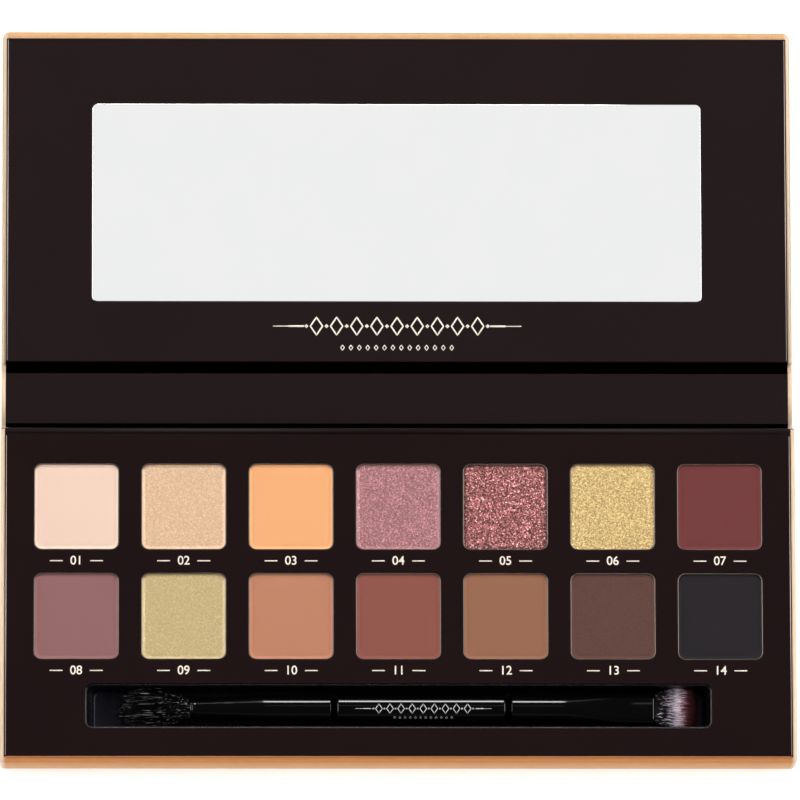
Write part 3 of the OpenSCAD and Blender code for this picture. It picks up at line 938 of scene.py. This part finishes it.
def diamond(solid, x, half_w, half_h, line, place):
    """The printed outline of an upright lozenge, in pieces short enough to follow a curved surface."""
    corners = [(x - half_w, 0), (x, -half_h), (x + half_w, 0), (x, half_h)]
    points = []
    for (xa, ya), (xb, yb) in zip(corners, corners[1:] + corners[:1]):
        count = max(1, round(math.hypot(xb - xa, yb - ya) / (0.5 * MM)))
        points += [(xa + (xb - xa) * k / count, ya + (yb - ya) * k / count) for k in range(count)]
    stroke(solid, points, line, place, closed=True)


def lattice(solid, width, height, place, line):
    """A plain printed ornament: a row of upright lozenges, small ones between them and rules beside."""
    count = 9
    row = width * 0.73
    pitch = row / count
    small = height * 0.07
    for k in range(count):
        diamond(solid, (k - (count - 1) / 2) * pitch, pitch * 0.3, height / 2, line, place)
    for k in range(count + 1):
        diamond(solid, (k - count / 2) * pitch, small, small, line * 1.1, place)
    for side in (-1, 1):
        start, end = side * (row / 2 + 0.6 * MM), side * width / 2
        middle = (start + end) / 2
        stroke(solid, [(start, 0), (middle, 0)], line * 1.2, place)
        stroke(solid, [(middle, 0), (end, 0)], line * 0.6, place)


def dots(solid, width, height, count, place, line):
    """A row of small lozenges."""
    for k in range(count):
        x = (k - (count - 1) / 2) * width / (count - 1)
        diamond(solid, x, height * 0.35, height / 2, line, place)


def lid_ornament(ink):
    """The ornament printed below the mirror."""
    top = levels("lid_panel")[1]
    start = plan("lid_panel")[1]

    def upper(x, y, height):
        return (x, start + 9.6 * MM + y, top + height)

    def lower(x, y, height):
        return (x, start + 3.8 * MM + y, top + height)

    solid = Solid()
    lattice(solid, 66 * MM, 4.8 * MM, upper, 0.42 * MM)
    dots(solid, 29 * MM, 1.4 * MM, 14, lower, 0.25 * MM)
    add_piece("lid_print", solid, ink, (), "lid")


def handle_ornament(ink):
    """The same ornament in silver, wrapped on the brush's handle."""
    axis_y, axis_z = brush_axis()
    radius = plan("brush_handle")[3] - axis_y
    middle, forward = 6.5 * MM, 0.6 * MM

    def on_handle(x, y, height):
        angle = (y - forward) / radius
        r = radius + height
        return (middle + x, axis_y + r * math.sin(angle), axis_z + r * math.cos(angle))

    def in_front(x, y, height):
        return on_handle(x, y - 2.6 * MM, height)

    solid = Solid()
    lattice(solid, 36 * MM, 2.6 * MM, on_handle, 0.22 * MM)
    dots(solid, 15 * MM, 0.8 * MM, 12, in_front, 0.16 * MM)
    add_piece("handle_print", solid, ink, (), "brush")


def digits(name, text, size, thick):
    """A mesh of printed digits, centred on the origin."""
    curve = bpy.data.curves.new(name, "FONT")
    curve.body, curve.size, curve.extrude, curve.offset = text, size, thick, 0.03 * MM
    curve.align_x, curve.align_y = "CENTER", "CENTER"
    text_object = bpy.data.objects.new(name, curve)
    bpy.context.scene.collection.objects.link(text_object)
    bpy.context.view_layer.update()
    mesh = bpy.data.meshes.new_from_object(text_object.evaluated_get(bpy.context.evaluated_depsgraph_get()))
    bpy.data.objects.remove(text_object)
    return mesh


def pan_number(i, ink):
    """A number between two short rules, printed in front of a pan."""
    top = levels("face_plate")[1]
    thick = 0.008 * MM
    x0, y0, x1, _ = plan(f"pan_{i:02d}")
    middle, line = (x0 + x1) / 2, y0 - 2.95 * MM

    def on_plate(x, y, height):
        return (middle + x, line + y, top + height)

    solid = Solid()
    number = digits(f"number_{i:02d}", f"{i:02d}", 3.3 * MM, thick)
    solid.ring([on_plate(v.co.x, v.co.y, v.co.z + thick) for v in number.vertices])
    for face in number.polygons:
        solid.face(face.vertices)
    for side in (-1, 1):
        stroke(solid, [(side * 3.6 * MM, 0), (side * 7 * MM, 0)], 0.3 * MM, on_plate)
    add_piece(f"number_{i:02d}", solid, ink, (), "tray")


# ---- brush ----

def brush_axis():
    """The Y and Z of the brush's long axis."""
    low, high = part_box("brush_handle")
    return (low.y + high.y) / 2, (low.z + high.z) / 2


def round_section(solid, x, radius):
    """A ring round the brush's axis."""
    axis_y, axis_z = brush_axis()
    angles = full_turn(ROUND_STEPS)
    return solid.ring([(x, axis_y + radius * math.cos(a), axis_z + radius * math.sin(a)) for a in angles])


def even_rings(x0, x1, radius):
    """Profile points along a straight bar, close to its ends so that it is shaded straight too."""
    near = 0.15 * MM
    return [(x, radius) for x in (x0 + near, x0 + 2 * near, x1 - 2 * near, x1 - near)]


def rounded_bar(x0, x1, radius, edge):
    """Profile of a bar with rounded ends."""
    start = [(x0 + drop, radius - inset) for inset, drop in rounded_edge(edge)[::-1]]
    end = [(x1 - drop, radius - inset) for inset, drop in rounded_edge(edge)]
    return start + even_rings(x0 + edge, x1 - edge, radius) + end


def brush_shaft(lacquer):
    """The lacquered handle, with the thinner spigots that its ferrules are pushed onto."""
    low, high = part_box("brush_handle")
    gap = 1.6 * MM
    start, end = plan("round_ferrule")[2] + gap, plan("flat_ferrule")[0] - gap
    radius, spigot = (high.y - low.y) / 2, 2.7 * MM
    bar = rounded_bar(start, end, radius, 0.4 * MM)
    profile = [(low.x, spigot), (start, spigot)] + bar + [(end, spigot), (high.x, spigot)]
    solid = Solid()
    solid.tube([round_section(solid, x, r) for x, r in profile])
    add_piece("brush_shaft", solid, lacquer, ("brush_handle",), "brush")


def round_collar(metal):
    """The round tuft's ferrule: straight at the handle, then drawn down to a beaded mouth."""
    x0, _, x1, _ = plan("round_ferrule")
    wide, mouth, wall = 3.6 * MM, 2.5 * MM, 0.35 * MM
    taper, steps, lead, edge = 19 * MM, 24, 0.7 * MM, 0.18 * MM
    narrow = mouth - 0.05 * MM
    lip = [(x0, mouth - 0.15 * MM), (x0 + 0.1 * MM, mouth), (x0 + 0.35 * MM, mouth + 0.06 * MM)]
    lip.append((x0 + 0.6 * MM, mouth))
    cone = [(x0 + lead + taper * k / steps, narrow + (wide - narrow) * k / steps) for k in range(steps + 1)]
    end = even_rings(x0 + lead + taper, x1 - edge, wide)
    end += [(x1 - drop, wide - inset) for inset, drop in rounded_edge(edge)]
    inside = [(x1, wide - wall), (x0 + taper, wide - wall), (x0, mouth - wall)]
    solid = Solid()
    rings = [round_section(solid, x, r) for x, r in lip + cone + end + inside]
    solid.bands(rings + [rings[0]])
    add_piece("round_collar", solid, metal, ("round_ferrule",), "brush")


def oval(half_w, half_t, steps=64):
    """A superellipse: a circle when both halves are equal, and squarer the flatter it is."""
    power = 2 / (2 + 1.2 * (half_w - half_t) / half_w)
    points = []
    for angle in full_turn(steps):
        c, s = math.cos(angle), math.sin(angle)
        x, y = math.copysign(abs(c) ** power, c), math.copysign(abs(s) ** power, s)
        points.append((half_w * x, half_t * y))
    return points


def flat_collar(metal):
    """The flat tuft's ferrule: round at the handle, pressed flat towards a beaded mouth."""
    x0, _, x1, _ = plan("flat_ferrule")
    axis_y, axis_z = brush_axis()
    start_r, half_w, half_t, wall = 3.6 * MM, 4.1 * MM, 1.7 * MM, 0.35 * MM
    length, straight, flat_part = x1 - x0, 13 * MM, 5 * MM
    solid = Solid()

    def section(x, inset):
        t = min(1.0, max(0.0, (x - x0 - straight) / (length - straight - flat_part)))
        ease = t * t * (3 - 2 * t)
        w, h = start_r + (half_w - start_r) * ease - inset, start_r + (half_t - start_r) * ease - inset
        return solid.ring([(x, axis_y + a, axis_z + b) for a, b in oval(w, h)])

    stations = [(x0 + drop, inset) for inset, drop in rounded_edge(0.18 * MM)[::-1]]
    stations += [(x0 + length * k / 40, 0.0) for k in range(1, 40)]
    stations += [(x1 - 0.6 * MM, 0.0), (x1 - 0.35 * MM, -0.03 * MM), (x1 - 0.1 * MM, 0.0), (x1, 0.12 * MM)]
    stations += [(x1 - length * k / 20, wall) for k in range(21)]
    rings = [section(x, inset) for x, inset in stations]
    solid.bands(rings + [rings[0]])
    add_piece("flat_collar", solid, metal, ("flat_ferrule",), "brush")


def swelling(t):
    """How far a tuft has spread at a fraction t of its length."""
    return math.sin(math.pi / 2 * min(1.0, t * 1.25))


def bristle(solid, line, thickness):
    """One tapering hair along a line of points."""
    rings = []
    for k, (x, y, z) in enumerate(line):
        size = thickness * (1 - 0.6 * (k / (len(line) - 1)) ** 2)
        rings.append(solid.ring([(x, y + size * math.cos(a), z + size * math.sin(a)) for a in full_turn(3)]))
    solid.bands(rings)
    solid.faces += [tuple(rings[0]), tuple(rings[-1])]


def hair_line(rng, root, tip_offset, steps, sway):
    """Points from a root along a bulging, slightly waved path that ends at tip_offset from the root."""
    phase, swing = rng.uniform(0, 2 * math.pi), sway * rng.gauss(0, 1)
    line = []
    for k in range(steps + 1):
        t = k / steps
        wave = swing * math.sin(3 * t + phase) * t
        x, y, z = (a + b * part for a, b, part in zip(root, tip_offset, (t, swelling(t), swelling(t))))
        line.append((x, y + wave, z + wave * 0.6))
    return line


def tuft(shape, material, mouth, tip, root_half, wide_half, count, seed, drop_at_edge):
    """Many hairs that leave an oval mouth and spread to a domed oval head, round a solid core."""
    rng = random.Random(seed)
    axis_y, axis_z = brush_axis()
    reach = tip - mouth
    start = mouth - 0.02 * reach
    solid = Solid()
    for _ in range(count):
        s, angle = math.sqrt(rng.random()), rng.uniform(0, 2 * math.pi)
        c, d = s * math.cos(angle), s * math.sin(angle)
        root = (start, axis_y + c * root_half[0], axis_z + d * root_half[1])
        dome = 1 - drop_at_edge * (1 - math.sqrt(max(0.0, 1 - s * s)))
        end = reach * 1.02 * (dome - abs(rng.gauss(0, 0.035)))
        spread = min(1.0, 1 + rng.gauss(0, 0.03))
        sides = zip((c, d), wide_half, root_half)
        offset = [end] + [at * (wide * spread - narrow) for at, wide, narrow in sides]
        bristle(solid, hair_line(rng, root, offset, 8, 0.2 * MM), rng.uniform(0.04, 0.07) * MM)
    core_steps, core_reach, core_share = 10, 0.84, 0.82
    rings = []
    for k in range(core_steps + 1):
        t = k / core_steps
        close = math.sqrt(max(0.0, 1 - max(0.0, (t - 0.55) / 0.45) ** 2)) * core_share + 0.001
        half_w, half_t = ((a + (b - a) * swelling(t)) * close for a, b in zip(root_half, wide_half))
        x = start + reach * core_reach * t
        circle = [(math.cos(a), math.sin(a)) for a in full_turn(32)]
        rings.append(solid.ring([(x, axis_y + half_w * c, axis_z + half_t * d) for c, d in circle]))
    solid.tube(rings)
    add_piece(f"{shape}_hairs", solid, material, (f"{shape}_tuft",), "brush")


# ---- set ----

def floor_material():
    """Matt white, seen only from above so that the palette's underside can be looked at from below."""
    s = Surface("studio_floor", Roughness=0.9, Specular_IOR_Level=0.0, Emission_Color=(1, 1, 1, 1),
                Emission_Strength=0.45)
    s.set("Base Color", s.mix(s.noise(0.6), srgb(244, 244, 244), srgb(248, 248, 248)))
    side = s.add("ShaderNodeNewGeometry").outputs["Backfacing"]
    clear = s.add("ShaderNodeBsdfTransparent").outputs[0]
    mixed = s.add("ShaderNodeMixShader", {0: side, 1: s.shader.outputs[0], 2: clear})
    s.plug(s.tree.nodes["Material Output"].inputs["Surface"], mixed.outputs[0])
    return s.material


def add_floor():
    """A large plain floor just under the palette."""
    half = 5.0
    corners = [(-half, -half, 0), (half, -half, 0), (half, half, 0), (-half, half, 0)]
    mesh = bpy.data.meshes.new("floor")
    mesh.from_pydata(corners, [], [(0, 1, 2, 3)])
    mesh.materials.append(floor_material())
    floor = bpy.data.objects.new("floor", mesh)
    floor.location.z = -0.02 * MM
    bpy.context.scene.collection.objects.link(floor)


def softbox(name, place, width, depth, radiance, shows="both"):
    """A soft light that faces the palette. It shows in matt or glossy surfaces, or in both."""
    data = bpy.data.lights.new(name, "AREA")
    data.shape = "RECTANGLE"
    data.size, data.size_y = width, depth
    data.energy = radiance * math.pi * width * depth
    light = bpy.data.objects.new(name, data)
    light.location = place
    light.rotation_mode = "QUATERNION"
    light.rotation_quaternion = place.to_track_quat("Z", "Y")
    light.visible_camera = False
    light.visible_diffuse = shows != "gloss"
    light.visible_glossy = shows != "matt"
    bpy.context.scene.collection.objects.link(light)


def towards(bearing, tilt, distance):
    """A place tilt degrees off the zenith, towards a bearing: 0 is behind the palette, 90 to its right."""
    a, t = math.radians(bearing), math.radians(tilt)
    return distance * Vector((math.sin(a) * math.sin(t), math.cos(a) * math.sin(t), math.cos(t)))


def mirror_card():
    """A pale card just large enough to fill the mirror, seen from the camera."""
    low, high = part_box("mirror")
    centre = Vector(((low.x + high.x) / 2, (low.y + high.y) / 2, high.z))
    eye = camera_place()[0]
    image = Vector((eye.x, eye.y, 2 * high.z - eye.z))
    distance, margin, radiance = 2.3, 1.3, 0.86
    spread = margin * (1 + distance / (centre - image).length)
    place = centre + distance * (centre - image).normalized()
    softbox("mirror_card", place, spread * (high.x - low.x), spread * (high.y - low.y), radiance)


def add_lights():
    """The soft lights, the mirror's card, and a surrounding that is bright low down and dim above."""
    for name, bearing, tilt, distance, *light in LIGHTS:
        softbox(name, towards(bearing, tilt, distance), *light)
    mirror_card()
    world = bpy.data.worlds.new("studio")
    world.use_nodes = True
    tree = world.node_tree
    sky = tree.nodes["Background"]
    sky.inputs["Color"].default_value = (1, 1, 1, 1)
    height = tree.nodes.new("ShaderNodeSeparateXYZ")
    walls = tree.nodes.new("ShaderNodeMapRange")
    for socket, value in (("From Min", 0.3), ("From Max", 0.6), ("To Min", 0.6), ("To Max", 0.05)):
        walls.inputs[socket].default_value = value
    tree.links.new(tree.nodes.new("ShaderNodeTexCoord").outputs["Generated"], height.inputs[0])
    tree.links.new(height.outputs["Z"], walls.inputs["Value"])
    tree.links.new(walls.outputs["Result"], sky.inputs["Strength"])
    bpy.context.scene.world = world


def camera_place():
    """Where the camera is: its position, and the directions to the right and up in its picture."""
    tilt, lean, roll = math.radians(9.9), math.radians(-1.2), math.radians(-0.14)
    aim, distance = Vector((0.8 * MM, -0.15 * MM, 0)), 3.0
    back = Vector((math.sin(lean) * math.cos(tilt), -math.sin(tilt), math.cos(lean) * math.cos(tilt)))
    level = Vector((0, 1, 0)).cross(back).normalized()
    upright = back.cross(level)
    right = math.cos(roll) * level + math.sin(roll) * upright
    return aim + distance * back, right, back.cross(right)


def add_camera():
    """A long lens that looks down on the open palette from a little in front."""
    position, right, up = camera_place()
    data = bpy.data.cameras.new("camera")
    data.sensor_width = 36
    data.lens = 508.3
    camera = bpy.data.objects.new("camera", data)
    camera.location = position
    camera.rotation_mode = "QUATERNION"
    camera.rotation_quaternion = Matrix((right, up, right.cross(up))).transposed().to_quaternion()
    bpy.context.scene.collection.objects.link(camera)
    bpy.context.scene.camera = camera


# ---- the palette ----

def build_tray(flock, card, plastic):
    """The tray's wrap, cards and trough, and a full pan for each shade."""
    plate_card = card_material("face_plate_card", srgb(23, 9, 10), srgb(27, 12, 13))
    tin = tin_material("pan_metal", srgb(118, 109, 101), 0.35)
    tray_skin(flock)
    rear_cover(card)
    printed_plate(plate_card)
    glossy_trough(plastic)
    for i, (slot, colour, kind) in enumerate(SHADES, start=1):
        pressed_pan(i, tin)
        powder_cake(i, kind, powder_material(slot, colour, kind, levels(f"powder_{i:02d}")[1]))
        if kind == "glitter":
            glitter_flakes(i, flake_material(slot, colour))


def build_cover(flock, card):
    """The spine, the lid and the two folds between them and the tray."""
    lining = lining_material()
    spine_skin(flock)
    spine_card(card)
    tray_top = levels("rear_fold_lining")[1]
    spine = (levels("spine_lining")[1], levels("spine_wrap")[1])
    lid = (levels("lid_panel")[1] - 0.3 * MM, levels("lid_wrap")[1])
    fold("rear_fold", (tray_top, tray_top), spine, flock, lining)
    fold("lid_fold", spine, lid, flock, lining)
    lid_skin(flock)
    lid_card(card)
    lid_mirror(mirror_material())


def build_details(flock):
    """The cards' edges and the trough's lip, with their highlights painted as pale lines, and all that is
    printed on the cards.
    """
    cut_edges(edge_highlight_material(), flock)
    # The trough's lip is painted pale grey as its highlight.
    trough_lip(gloss_material("painted_lip_highlight", srgb(88, 82, 80), 0.3, 0.004 * MM))
    cream = ink_material()
    lid_ornament(cream)
    for i in range(1, len(SHADES) + 1):
        pan_number(i, cream)


def build_brush():
    """The double-ended brush."""
    lacquer = gloss_material("black_lacquer", srgb(5, 5, 6), 0.05, 0.004 * MM)
    ferrule = gloss_material("black_ferrule", srgb(6, 6, 7), 0.08, 0.004 * MM)
    brush_shaft(lacquer)
    handle_ornament(silver_ink_material())
    round_collar(ferrule)
    flat_collar(ferrule)
    mouth, tip = plan("round_ferrule")[0], plan("round_tuft")[0]
    half_mouth, half_head = (2.1 * MM, 2.1 * MM), (5.2 * MM, 4.9 * MM)
    tuft("round", black_hair_material(), mouth, tip, half_mouth, half_head, 2600, 11, 0.35)
    mouth, tip = plan("flat_ferrule")[2], plan("flat_tuft")[2]
    half_mouth, half_head = (3.7 * MM, 1.3 * MM), (5.45 * MM, 2.2 * MM)
    tuft("flat", banded_hair_material(mouth, tip), mouth, tip, half_mouth, half_head, 2400, 12, 0.14)


def paint_nodes(plastic):
    """Materials for the CAD nodes that stay as they are: boards, glue, magnets and the pan tray."""
    walls = tuple(f"{side}_wall" for side in ("front", "left", "right", "rear"))
    for material, nodes in (
        (board_material(), ("bottom_board", *walls, "spine_board", "lid_board")),
        (glue_material(), ("pan_adhesive", "mirror_adhesive")),
        (tin_material("magnet", srgb(178, 178, 180), 0.2), ("tray_magnets", "lid_magnets")),
        (plastic, ("pan_tray",)),
    ):
        for node in nodes:
            give(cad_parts[node].data, material)


add_camera()
add_lights()
add_floor()
tray_flock, plastic = flock_material("tray_flock", painted_front_shade=True), plastic_material()
card = card_material("dark_printed_card", srgb(27, 16, 18), srgb(32, 20, 22))
build_tray(tray_flock, card, plastic)
build_cover(flock_material("flocked_wrap"), card)
build_details(tray_flock)
build_brush()
paint_nodes(plastic)
bpy.context.scene.view_settings.view_transform = "Standard"
